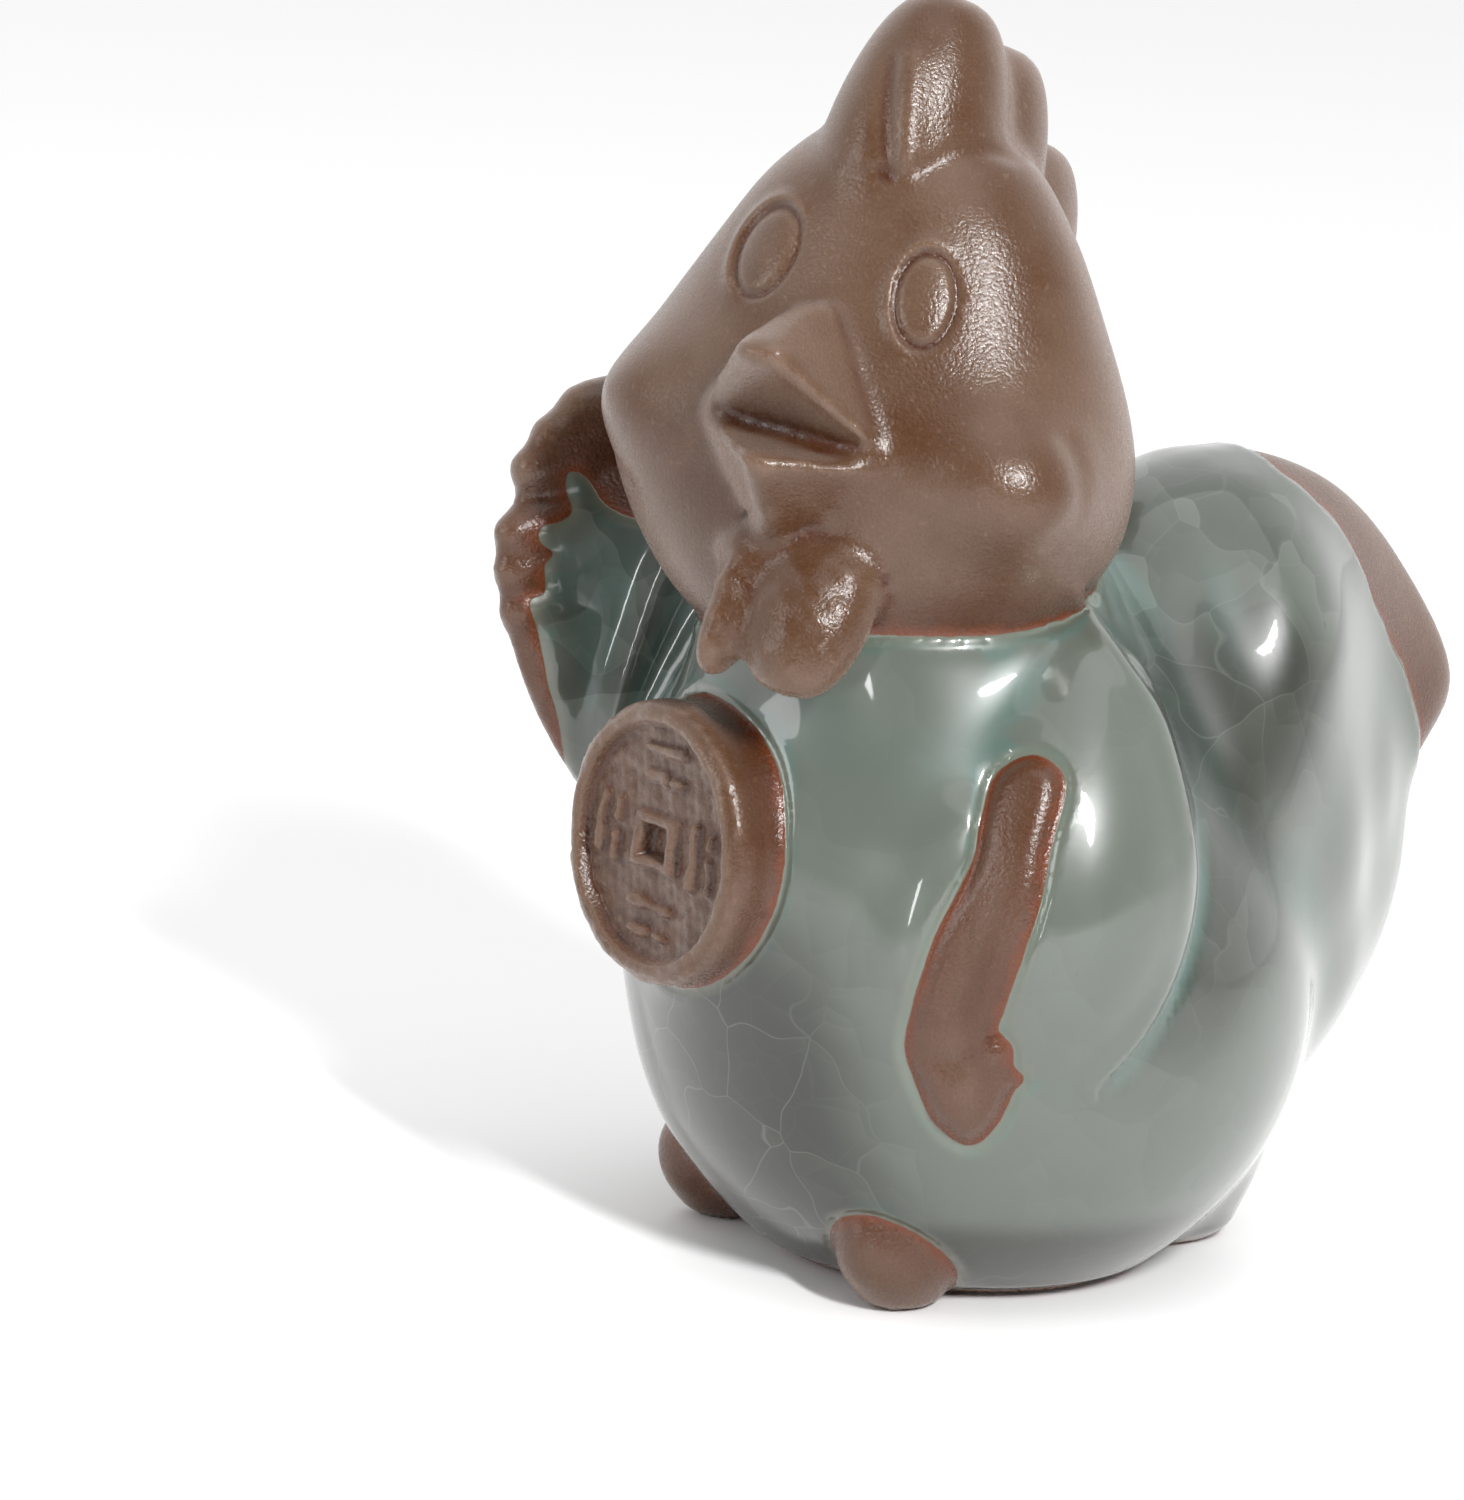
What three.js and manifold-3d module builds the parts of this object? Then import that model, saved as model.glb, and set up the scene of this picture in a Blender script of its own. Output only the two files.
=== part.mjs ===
// Ceramic tea pet: a plump rooster with a coin on its belly, its right wing raised to its cheek.
// Millimetres, +Z up. The belly faces -Y, the figure's left is +X, the underside lies at z = 0.

import * as THREE from "three";
import { mergeVertices } from "three/addons/utils/BufferGeometryUtils.js";
import Module from "manifold-3d";

const wasm = await Module();
wasm.setup();

// Driving sizes

const bodyRadius = 24;
const bodyMiddle = 20.4;
const neckRadius = 13.2;
const neckHeight = 48.2;
const neckLean = 9;

const headCentre = [-1.2, -9.7, 60.2];
const headTurn = 27;
const headPitch = 19;
const headRoll = 4;
const headHalfWidth = 18.8;
const headHalfHeight = 19.6;
const headFront = 14;
const headBack = 15.5;

const combThickness = 10.2;
const combCleft = 1.1;

const mouthCorner = [12, -4.4];
const upperTip = [21.8, 0.2];
const lowerTip = [19, -6.5];
const beakHalfWidth = 8.4;

const eyeSpread = 6.3;
const eyeRise = 6.3;
const eyeRadius = 3.2;
const eyeGroove = 0.9;
const eyeDepth = 0.6;

const coinRadius = 9.7;
const coinThickness = 6.2;
const coinCentre = [-0.4, -24.3, 30.3];
const coinTilt = 3;
const coinRim = 1.7;
const coinField = 0.9;
const coinHole = 1.5;

const tailRoot = 33;
const tailEdge = 9;
const tailCurl = 2.4;

const deg = Math.PI / 180;

// Small helpers

const mix = (a, b, t) => a + (b - a) * t;
const bump = (x, centre, width) => Math.exp(-(((x - centre) / width) ** 2));
const step = (x, from, to) => {
  const t = Math.min(1, Math.max(0, (x - from) / (to - from)));
  return t * t * (3 - 2 * t);
};

// Changes every vertex of a geometry by a function of its place.
function deform(geometry, place) {
  const at = geometry.attributes.position;
  const point = new THREE.Vector3();
  for (let i = 0; i < at.count; i++) {
    point.fromBufferAttribute(at, i);
    const [x, y, z] = place(point.x, point.y, point.z);
    at.setXYZ(i, x, y, z);
  }
  return geometry;
}

function solid(geometry) {
  geometry.deleteAttribute("normal");
  geometry.deleteAttribute("uv");
  const merged = mergeVertices(geometry, 1e-4);
  const body = new wasm.Mesh({
    numProp: 3,
    vertProperties: new Float32Array(merged.attributes.position.array),
    triVerts: new Uint32Array(merged.index.array),
  });
  body.merge();
  return new wasm.Manifold(body);
}

// A unit ball with its poles on Z, each vertex moved by the function.
function moulded(place, around, down) {
  return solid(deform(new THREE.SphereGeometry(1, around, down).rotateX(90 * deg), place));
}

// A smooth profile through a few radii, revolved about Z.
function turned(profile, rows, around) {
  const curve = new THREE.SplineCurve(profile.map(([r, z]) => new THREE.Vector2(r, z)));
  const points = curve.getPoints(rows).map((p) => new THREE.Vector2(Math.max(0, p.x), p.y));
  points[0].x = 0;
  points[points.length - 1].x = 0;
  return new THREE.LatheGeometry(points, around).rotateX(90 * deg);
}

// A round-ended limb along a path; width and height are half sizes given along it from 0 to 1.
function limb(path, width, height, across, around = 12, along = 12) {
  const curve = new THREE.CatmullRomCurve3(path.map((p) => new THREE.Vector3(...p)));
  const side = new THREE.Vector3();
  const up = new THREE.Vector3();
  return moulded((x, y, z) => {
    const t = Math.acos(Math.max(-1, Math.min(1, -z))) / Math.PI;
    const u = (1 - Math.cos(t * Math.PI)) / 2;
    const centre = curve.getPoint(u);
    const ahead = curve.getTangent(u);
    side.set(...across);
    side.addScaledVector(ahead, -ahead.dot(side)).normalize();
    up.crossVectors(ahead, side);
    const full = Math.hypot(x, y) > 0.01 ? Math.hypot(x, y) ** -0.45 : 0;
    centre.addScaledVector(side, x * full * width(u));
    return centre.addScaledVector(up, y * full * height(u)).toArray();
  }, around, along);
}

// A plate with a free outline: u, v in its plane, w through it; each is a direction in the frame.
function plate(outline, centre, thickness, place, around, down, fullness = 0.62) {
  const curve = new THREE.CatmullRomCurve3(outline.map(([u, v]) => new THREE.Vector3(u, v, 0)), true);
  return moulded((x, y, z) => {
    const turn = (Math.atan2(y, x) / (2 * Math.PI) + 1) % 1;
    const out = Math.min(1, Math.hypot(x, y));
    const edge = curve.getPointAt(turn);
    const reach = out ** fullness;
    const u = mix(centre[0], edge.x, reach);
    const v = mix(centre[1], edge.y, reach);
    return place(u, v, Math.sign(z) * Math.abs(z) ** 0.8 * thickness(u, v) / 2, reach, turn);
  }, around, down);
}

// Body: an egg leaning forward into the neck

function bodyLean(z) {
  return -neckLean * step(z, 14, 60);
}

function egg() {
  const profile = [
    [0, bodyMiddle - bodyRadius],
    [bodyRadius * 0.5, bodyMiddle - bodyRadius * 0.87],
    [bodyRadius * 0.87, bodyMiddle - bodyRadius * 0.5],
    [bodyRadius, bodyMiddle],
    [bodyRadius * 0.9, 32],
    [mix(bodyRadius, neckRadius, 0.66), 40],
    [neckRadius, neckHeight],
    [neckRadius * 0.75, 55],
    [0, 58],
  ];
  return solid(deform(turned(profile, 24, 36), (x, y, z) => [x, y + bodyLean(z), z]));
}

// The folded left wing is a low swelling on the body's side.
function foldedWing() {
  return moulded((x, y, z) => {
    const low = (1 - z) / 2;
    const back = y > 0 ? 10.4 : 9.5;
    const z1 = 29 + 18.5 * z;
    const across = back * y * mix(0.92, 1, Math.sin(low * Math.PI)) + mix(4.2, -4.8, low);
    const out = 13.2 + mix(6, 12.4, Math.sin(low * Math.PI) ** 0.7) * Math.abs(x) ** 0.7 * Math.sign(x);
    return [out, across - 4.5 + 0.25 * bodyLean(z1), z1];
  }, 24, 16);
}

// The bare raised stripe on the folded wing ends in a small hand-like lobe.
function wingStripe() {
  const path = [
    [19.8, -10.4, 40.2],
    [20.9, -12.2, 34.6],
    [21, -13.5, 29],
    [20.2, -14.4, 23.6],
    [19.5, -14.2, 18.6],
    [18.3, -13.2, 13],
  ];
  const width = (u) => 2.2 + 0.3 * bump(u, 0.2, 0.2) + 0.9 * bump(u, 0.8, 0.14);
  return limb(path, width, () => 1.3, [0.72, 0.66, 0.12], 12, 18);
}

// Head: a pear with wide cheeks, a beak, eyes, wattles and a comb; modelled facing -Y, then turned

function headShape(inset = 0) {
  const profile = [
    [0, -1],
    [0.46, -0.9],
    [0.8, -0.64],
    [0.97, -0.34],
    [0.985, -0.1],
    [0.91, 0.14],
    [0.76, 0.42],
    [0.58, 0.7],
    [0.34, 0.92],
    [0, 1],
  ];
  return solid(deform(turned(profile, 24, 36), (x, y, z) => {
    const forward = -3.2 * step(z, 0, 0.85);
    const cheek = bump(Math.abs(x), 0.8, 0.24) * bump(z, -0.24, 0.2) * step(-y, 0.02, 0.4);
    const depth = y < 0 ? headFront : headBack;
    return [
      x * (headHalfWidth - inset) + 0.8 * cheek * Math.sign(x),
      y * (depth - inset) + forward - 1.7 * cheek,
      z * (headHalfHeight - inset),
    ];
  }));
}

// The comb stands on the crown as a thick scalloped fan running back over the head.
function comb() {
  const lobe = (y, z, reach, height, lean, thick) => moulded((a, b, c) => {
    const taper = 1 - 0.2 * c;
    const cleft = combCleft * bump(a, 0, 0.3) * step(-b, 0.5, 0.95) * step(c, -0.4, 0.3) * step(-c, -0.95, -0.5);
    return [a * thick / 2 * taper, y + (reach * b + cleft) * taper + lean * c, z + height * c];
  }, 20, 11);
  return lobe(-6.2, 17.6, 6.6, 9.7, -0.6, combThickness * 0.94)
    .add(lobe(0.6, 16, 6.2, 9.6, 0.6, combThickness * 1.06))
    .add(lobe(9, 12.4, 7.6, 8.6, 1.2, combThickness));
}

// One half of the open beak: a tent on the mouth plane, from inside the face to a blunt tip.
function beakHalf(tip, rise, drop) {
  const slope = (tip[1] - mouthCorner[1]) / (tip[0] - mouthCorner[0]);
  const root = mouthCorner[0] - 7;
  return moulded((x, y, z) => {
    const ahead = (1 - y) / 2;
    const far = mix(root, tip[0], ahead);
    const taper = mix(1, 0.32, Math.max(0, (far - mouthCorner[0]) / (tip[0] - mouthCorner[0])));
    const tent = 1 - 0.8 * Math.abs(x) ** 1.3;
    const square = Math.sign(x) * Math.abs(x) ** 0.75;
    const level = mouthCorner[1] + slope * (far - mouthCorner[0]);
    return [square * beakHalfWidth * taper, -far, level + z * taper * tent * (z > 0 ? rise : drop)];
  }, 20, 14);
}

function beak() {
  return beakHalf(upperTip, 11.5, 0.9).add(beakHalf(lowerTip, 0.7, 8.6));
}

function wattle(x, width, length, swing) {
  return moulded((a, b, c) => [
    x + width * a + swing * (1 - c),
    -10.2 + 3.9 * b + 1.2 * c,
    -15.6 + length * c * (1 - 0.1 * c),
  ], 14, 10);
}

// The ring groove round an eye follows the face at an even depth.
function eyeGrooves() {
  const ring = (sign) => solid(new THREE.CylinderGeometry(eyeRadius, eyeRadius, 30, 20))
    .subtract(solid(new THREE.CylinderGeometry(eyeRadius - eyeGroove, eyeRadius - eyeGroove, 40, 20)))
    .scale([0.88, 1, 1.06])
    .translate([sign * eyeSpread, -18, eyeRise]);
  return ring(-1).add(ring(1)).subtract(headShape(eyeDepth));
}

function head() {
  return headShape()
    .subtract(eyeGrooves())
    .add(comb())
    .add(beak())
    .add(wattle(-2, 2.9, 6.2, 0.2))
    .add(wattle(4.6, 4.6, 6.6, 0.1))
    .rotate([0, headRoll, 0])
    .rotate([-headPitch, 0, 0])
    .rotate([0, 0, headTurn])
    .translate(headCentre);
}

// Coin: a thick disc with a raised rim and a square frame round a square hole

function coin() {
  const half = coinThickness / 2;
  const profile = [
    [0, -half],
    [coinRadius - 0.7, -half],
    [coinRadius, -half + 0.8],
    [coinRadius, half - 0.8],
    [coinRadius - 0.6, half],
    [coinRadius - coinRim, half],
    [coinRadius - coinRim - 0.6, half - coinField],
    [0, half - coinField],
  ].map(([r, z]) => new THREE.Vector2(r, z));
  const frameSide = coinHole * 3.1;
  const frame = new THREE.BoxGeometry(frameSide, frameSide, coinField).translate(0, 0, half - coinField / 2);
  const hole = new THREE.BoxGeometry(coinHole * 1.7, coinHole * 1.7, 3).translate(0, 0, half);
  return solid(new THREE.LatheGeometry(profile, 32).rotateX(90 * deg))
    .add(solid(frame))
    .subtract(solid(hole))
    .rotate([90 - coinTilt, 0, 0])
    .translate(coinCentre);
}

// Raised right wing: a cupped paddle beside the cheek with finger-like feather tips

const wingOrigin = new THREE.Vector3(-21.5, -17.5, 44.2);
const wingRight = new THREE.Vector3(0.54, 0.84, 0.07);
const wingUp = new THREE.Vector3(-0.1, 0.05, 0.99);
const wingOut = new THREE.Vector3(0.8, -0.54, 0.24);

function onWing(u, v, w) {
  return wingOrigin.clone().addScaledVector(wingRight, u).addScaledVector(wingUp, v)
    .addScaledVector(wingOut, w).toArray();
}

// The paddle bends towards the face at its outer edge.
function wingCup(u) {
  return 2.6 * (Math.max(0, 1 - u) / 8) ** 2 - 1.5 * step(u, 6, 18);
}

function raisedWing() {
  const outline = [
    [19, 2],
    [14, 12],
    [4.5, 13.8],
    [-4, 10.6],
    [-8, 2.2],
    [-6.6, -6.5],
    [-1.5, -15.6],
    [7, -22],
    [17, -14],
  ];
  return plate(outline, [5, -3], () => 5.6, (u, v, w) => onWing(u, v, wingCup(u) + w), 34, 12);
}

// Four feather tips curl over the wing's outer edge like fingers.
function wingTips() {
  const tips = [
    [[5, 13.2], [-2.4, 10.6], 3],
    [[0.4, 9.8], [-7, 6], 2.8],
    [[-1.4, 5], [-8.4, 1.8], 2.6],
    [[-1.8, 0.6], [-8, -3], 2.5],
    [[-1.2, -4.4], [-6.4, -9.4], 2.2],
  ];
  return tips.map(([root, tip, size]) => {
    const path = [0, 0.5, 1].map((t) => {
      const u = mix(root[0], tip[0], t);
      return onWing(u, mix(root[1], tip[1], t), wingCup(u) + 0.9);
    });
    return limb(path, () => size * 0.72, () => size * 0.66, wingOut.toArray(), 9, 7);
  }).reduce((all, tip) => all.add(tip));
}

// Tail: a thick fan rising behind the head and running down to the ground

function tail() {
  const outline = [
    [38.4, 31],
    [42.3, 36.8],
    [36.4, 46.4],
    [27, 53.4],
    [16.5, 55.4],
    [6, 50],
    [2, 28],
    [5, 8],
    [10, -5],
    [17, -5],
    [23.6, 5],
    [31.2, 15.6],
    [36, 23.4],
  ];
  const centre = [18, 25];
  const thickness = (y, z) => mix(tailRoot, tailEdge, step(y, 0, 34)) * (1 - 0.3 * step(z, 34, 54) - 0.35 * step(-z, -14, 2));
  return plate(outline, centre, thickness, (y, z, w, reach) => {
    const along = Math.atan2(z - 16, y - 2);
    const ridge = Math.sin(along * 7.5 + 0.4) * step(reach, 0.3, 0.85);
    const curl = -tailCurl * step(y + 0.4 * z, 34, 58);
    return [curl + w * (1 + 0.1 * ridge) + 0.5 * ridge, y, z];
  }, 38, 18, 0.72);
}

// Feet: two plump toes under the front of the body

function foot(sign) {
  return moulded((x, y, z) => [
    sign * (10.8 - 0.4 * y) + 4 * x,
    -12.2 + 5 * y,
    4 + 4.6 * z - 0.8 * y,
  ], 16, 10);
}

// One cast piece, cut flat underneath

const below = solid(new THREE.BoxGeometry(200, 200, 20).translate(0, 0, -10));

const figure = egg()
  .add(foldedWing())
  .add(wingStripe())
  .add(raisedWing())
  .add(wingTips())
  .add(tail())
  .add(foot(-1))
  .add(foot(1))
  .add(head())
  .add(coin())
  .subtract(below);

function geometryOf(manifold) {
  const mesh = manifold.getMesh();
  const geometry = new THREE.BufferGeometry();
  const points = new Float32Array(mesh.vertProperties);
  geometry.setAttribute("position", new THREE.BufferAttribute(points, 3));
  geometry.setIndex(new THREE.BufferAttribute(new Uint32Array(mesh.triVerts), 1));
  geometry.computeVertexNormals();
  return geometry;
}

const glaze = new THREE.MeshStandardMaterial({ color: 0x7f918a, roughness: 0.12, metalness: 0 });

const rooster = new THREE.Mesh(geometryOf(figure), glaze);
rooster.name = "rooster";

const group = new THREE.Group();
group.name = "tea_pet";
group.add(rooster);

export default group;
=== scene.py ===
import math

import bpy
import numpy as np
from mathutils import Matrix, Vector
from mathutils.bvhtree import BVHTree


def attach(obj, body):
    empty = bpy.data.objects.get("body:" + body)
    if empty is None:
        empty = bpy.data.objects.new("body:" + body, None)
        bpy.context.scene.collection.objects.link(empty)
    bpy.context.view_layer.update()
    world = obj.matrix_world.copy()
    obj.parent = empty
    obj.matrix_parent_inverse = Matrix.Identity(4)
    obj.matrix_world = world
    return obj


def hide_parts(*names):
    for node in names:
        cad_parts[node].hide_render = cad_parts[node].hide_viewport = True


bl_info = {
    "name": "Ceramic tea pet",
    "version": (1, 0, 0),
    "blender": (4, 5, 0),
    "location": "3D View > Sidebar > Tea pet",
    "description": "A half-glazed rooster tea pet with a coin, and its stage",
    "category": "Object",
}

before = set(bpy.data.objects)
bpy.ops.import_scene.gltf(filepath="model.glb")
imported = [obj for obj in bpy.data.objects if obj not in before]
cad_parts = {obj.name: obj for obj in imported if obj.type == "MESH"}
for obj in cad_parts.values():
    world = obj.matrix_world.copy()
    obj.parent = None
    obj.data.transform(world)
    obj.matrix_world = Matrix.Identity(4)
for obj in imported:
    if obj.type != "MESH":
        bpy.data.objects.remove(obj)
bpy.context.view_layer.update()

# The frame is in metres; shapes here are worked out in millimetres.
# The belly and the coin face -Y, the figure's left side is +X, and it stands on z = 0.
MM = 0.001

# Grain of the one skin that all forms are joined into
VOXEL = 0.56

# Rounds of smoothing: all of the skin, how far the joints reach, the joints, all that is glazed, the tail's sides
SKIN_ROUNDS, JOINT_REACH, JOINT_ROUNDS, GLAZE_ROUNDS, TAIL_ROUNDS = 5, 9, 50, 26, 34

# The underside is flat where the skin ends up lower than this
FLAT_BELOW = 0.12

# The picture's camera: its place in metres, its axes, and its lens and sensor. The picture's size in pixels,
# the lens in its pixels, and how many of them show a millimetre of the figure.
CAMERA_PLACE = (0.40578, -0.29491, 0.15898)
CAMERA_RIGHT = (0.5438, 0.8364, 0.0677)
CAMERA_UP = (-0.2391, 0.0771, 0.9679)
CAMERA_BACK = (0.8044, -0.5426, 0.2419)
CAMERA_LENS = 184.1
SENSOR_WIDTH = 36
PICTURE = (1464, 1500)
FOCUS = PICTURE[0] * CAMERA_LENS / SENSOR_WIDTH
PIXELS_PER_MM = 14.4

# The head's middle, and how it is turned, pitched and rolled, in degrees
HEAD_CENTRE = np.array([-1.2, -9.7, 60.2])
HEAD_TURN = 27
HEAD_PITCH = -19
HEAD_ROLL = 4

# The coin's middle, and how far it leans back and is turned, in degrees
COIN_CENTRE = np.array([-0.3, -24.3, 30.8])
COIN_TILT = 3
COIN_TURN = 3

# Radii on the coin's face: what is cut finer once, what is cut twice, and what takes no other relief
COIN_FINE, COIN_FINEST, COIN_CLEAR = 9.6, 8.6, 9.9

# Where the raised wing's own plane starts, and its axes: u across, v up and w towards the camera
WING_ORIGIN = np.array([-21.5, -17.5, 44.2])
WING_AXES = np.array([[0.54, 0.84, 0.07], [-0.1, 0.05, 0.99], [0.8, -0.54, 0.24]])

# Edge of the bare stripe on the folded wing, in pixels of the picture
STRIPE_EDGE = [
    (1028, 754), (996, 773), (982, 816), (973, 859), (958, 890), (936, 933), (923, 969), (912, 1006),
    (904, 1046), (909, 1067), (921, 1095), (933, 1119), (952, 1138), (966, 1145), (982, 1141), (1001, 1119),
    (1014, 1092), (1024, 1080), (1014, 1066), (1013, 1048), (1003, 1036), (998, 1030), (1004, 1012),
    (1016, 976), (1031, 933), (1043, 893), (1051, 847), (1065, 792), (1063, 773), (1047, 758),
]

# Edge of the glaze inside the raised wing, in pixels of the picture
WING_GLAZE = [
    (572, 786), (562, 748), (557, 717), (550, 693), (542, 654), (535, 622), (530, 600), (544, 592),
    (545, 566), (553, 553), (539, 540), (541, 527), (558, 522), (571, 512), (566, 490), (568, 473),
    (578, 472), (587, 479), (604, 503), (630, 517), (662, 521), (760, 560), (860, 700), (700, 900),
]

# Outline of the tail's bare edge, seen from the left side: y and z along the glaze, then round outside the tail
TAIL_BARE = [
    (20.4, 58), (21.1, 54.3), (22.4, 53.4), (23.8, 52), (25.2, 51.2), (27, 49.2), (29, 46.9),
    (30.2, 44.8), (31.9, 43), (33, 41.2), (34.8, 39.3), (36, 36.8), (37, 34.3), (37.4, 32),
    (48, 30), (48, 62),
]

# Bare border on the back of the raised wing, in the wing's own plane
WING_BACK = [
    (-20, -11), (-3.4, -10.8), (-5, -4), (-5.6, 2), (-3.8, 7), (1, 9.6), (8, 11.4), (16, 12.6), (16, 30), (-20, 30),
]

# More than any distance on the figure, and what counts as well away from an eye or outside an outline
FAR = 1e9
WELL_OFF = 9

# Small helpers


def mix(a, b, t):
    """From a at 0 to b at 1."""
    return a + (b - a) * t


def hump(x, centre, width):
    """1 at a centre, falling away on both sides."""
    return np.exp(-(((x - centre) / width) ** 2))


def ease(x, start, end):
    """A soft step from 0 at the start to 1 at the end."""
    t = np.clip((x - start) / (end - start), 0, 1)
    return t * t * (3 - 2 * t)


def swell(x, power):
    """A power of a number that keeps its sign."""
    return np.sign(x) * np.abs(x) ** power


def turn(axis, degrees):
    return np.array(Matrix.Rotation(math.radians(degrees), 3, axis))


HEAD_AXES = turn("Z", HEAD_TURN) @ turn("X", HEAD_PITCH) @ turn("Y", HEAD_ROLL)
COIN_AXES = turn("Z", COIN_TURN) @ turn("X", 90 - COIN_TILT)


def from_head(points):
    return points @ HEAD_AXES.T + HEAD_CENTRE


def to_head(points):
    return (points - HEAD_CENTRE) @ HEAD_AXES


def to_coin(points):
    return (points - COIN_CENTRE) @ COIN_AXES


def from_wing(u, v, w):
    return WING_ORIGIN + np.stack([u, v, w], 1) @ WING_AXES


def to_wing(points):
    return (points - WING_ORIGIN) @ np.linalg.inv(WING_AXES)


def in_picture(points):
    """Where points show in the picture, in its pixels."""
    off = points - np.array(CAMERA_PLACE) / MM
    reach = FOCUS / -(off @ CAMERA_BACK)
    return np.stack([PICTURE[0] / 2 + (off @ CAMERA_RIGHT) * reach, PICTURE[1] / 2 - (off @ CAMERA_UP) * reach], 1)


def in_mm(pixels):
    """Places in the picture, in millimetres at the figure's distance."""
    return np.array(pixels) / PIXELS_PER_MM


def from_picture(column, row, depth):
    """The point on the head that shows at a pixel, at a depth in the head's own frame (its y)."""
    way = ((column - PICTURE[0] / 2) * np.array(CAMERA_RIGHT) + (PICTURE[1] / 2 - row) * np.array(CAMERA_UP)) / FOCUS
    way -= CAMERA_BACK
    start = to_head(np.array(CAMERA_PLACE) / MM)
    way = way @ HEAD_AXES
    return start + way * (depth - start[1]) / way[1]


def smooth_line(points, closed=False, even=False, count=600):
    """Many points along a smooth line through a few, open or closed."""
    given = np.array(points, float)
    spans = len(given) if closed else len(given) - 1
    if closed:
        knots = np.vstack([given[-1], given, given[:2]])
    elif even:
        knots = np.vstack([given[0], given, given[-1]])
    else:
        knots = np.vstack([2 * given[0] - given[1], given, 2 * given[-1] - given[-2]])
    along = np.linspace(0, spans, count)
    start = np.minimum(along.astype(int), spans - 1)
    w = (along - start)[:, None]
    p0, p1, p2, p3 = (knots[start + k] for k in range(4))
    gaps = [np.sqrt(np.linalg.norm(b - a, axis=1))[:, None] for a, b in ((p0, p1), (p1, p2), (p2, p3))]
    d0, d1, d2 = [np.ones_like(g) for g in gaps] if even else gaps
    lead = ((p1 - p0) / d0 - (p2 - p0) / (d0 + d1) + (p2 - p1) / d1) * d1
    tail = ((p2 - p1) / d1 - (p3 - p1) / (d1 + d2) + (p3 - p2) / d2) * d1
    cubic = 2 * p1 - 2 * p2 + lead + tail
    square = -3 * p1 + 3 * p2 - 2 * lead - tail
    return p1 + lead * w + square * w**2 + cubic * w**3


def along_line(line, share, by_length=False):
    """The point at a share of a line, counted by its points or by its length."""
    steps = np.linalg.norm(np.diff(line, axis=0), axis=1)
    place = np.concatenate([[0], np.cumsum(steps)]) if by_length else np.arange(len(line), dtype=float)
    at = share * place[-1]
    return np.stack([np.interp(at, place, line[:, k]) for k in range(line.shape[1])], -1)


def select_only(piece):
    for other in bpy.context.selected_objects:
        other.select_set(False)
    piece.select_set(True)
    bpy.context.view_layer.objects.active = piece


def read(items, name, width, kind=float):
    """One value of every item of a mesh, a row for each."""
    flat = np.empty(len(items) * width, kind)
    items.foreach_get(name, flat)
    return flat.reshape(-1, width)


def points_of(piece):
    return read(piece.data.vertices, "co", 3) / MM


def normals_of(piece):
    return read(piece.data.vertices, "normal", 3)


def edges_of(piece):
    return read(piece.data.edges, "vertices", 2, np.int32)


def move_points(piece, points):
    piece.data.vertices.foreach_set("co", (points * MM).ravel())
    piece.data.update()


def basic(name, add, **settings):
    """Adds one of the basic meshes under a name."""
    bpy.ops.object.select_all(action="DESELECT")
    add(**settings)
    piece = bpy.context.object
    piece.name = name
    return piece


def edit_all(edit, **settings):
    """Uses a mesh tool on the whole of the piece at hand."""
    bpy.ops.object.mode_set(mode="EDIT")
    bpy.ops.mesh.select_all(action="SELECT")
    edit(**settings)
    bpy.ops.object.mode_set(mode="OBJECT")


def spread(values, edges, rounds, share=0.5):
    """Evens out values over the surface, each towards the mean of its neighbours."""
    values = np.array(values, float)
    flat = values.reshape(len(values), -1)
    a, b = edges.T
    share = np.broadcast_to(np.asarray(share, float), len(flat))[:, None]
    count = np.bincount(a, minlength=len(flat)) + np.bincount(b, minlength=len(flat))
    for _ in range(rounds):
        mean = np.stack([
            np.bincount(a, flat[b, k], len(flat)) + np.bincount(b, flat[a, k], len(flat))
            for k in range(flat.shape[1])
        ], 1) / np.maximum(count, 1)[:, None]
        flat = flat + (mean - flat) * share
    return flat.reshape(values.shape)


def off_stroke(points, a, b):
    """Distance from the straight stroke between two places."""
    run = b - a
    t = np.clip((points - a) @ run / (run @ run), 0, 1)
    return np.hypot(*(points - a - t[:, None] * run).T)


def inside(points, outline):
    """Distance in from a closed outline, negative outside it."""
    corners = np.array(outline, float)
    corners = corners[np.linalg.norm(corners - np.roll(corners, -1, 0), axis=1) > 1e-6]
    best = np.full(len(points), FAR)
    within = np.zeros(len(points), bool)
    x, y = points.T
    for a, b in zip(corners, np.roll(corners, -1, 0)):
        best = np.minimum(best, off_stroke(points, a, b))
        if a[1] != b[1]:
            within ^= ((a[1] > y) != (b[1] > y)) & (x < (b - a)[0] * (y - a[1]) / (b - a)[1] + a[0])
    return np.where(within, best, -best)


def lumps(points, size, seed):
    """A smooth random height from -1 to 1 whose humps are about a size across."""
    draw = np.random.default_rng(seed)
    total = np.zeros(len(points))
    for _ in range(9):
        way = draw.normal(size=3)
        way *= 2 * math.pi / size / np.linalg.norm(way) * draw.uniform(0.6, 1.3)
        total += np.sin(points @ way + draw.uniform(0, 6.28))
    return np.clip(total / 4, -1, 1)


# Forms: each starts as a ball whose points are moved to its shape


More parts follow.
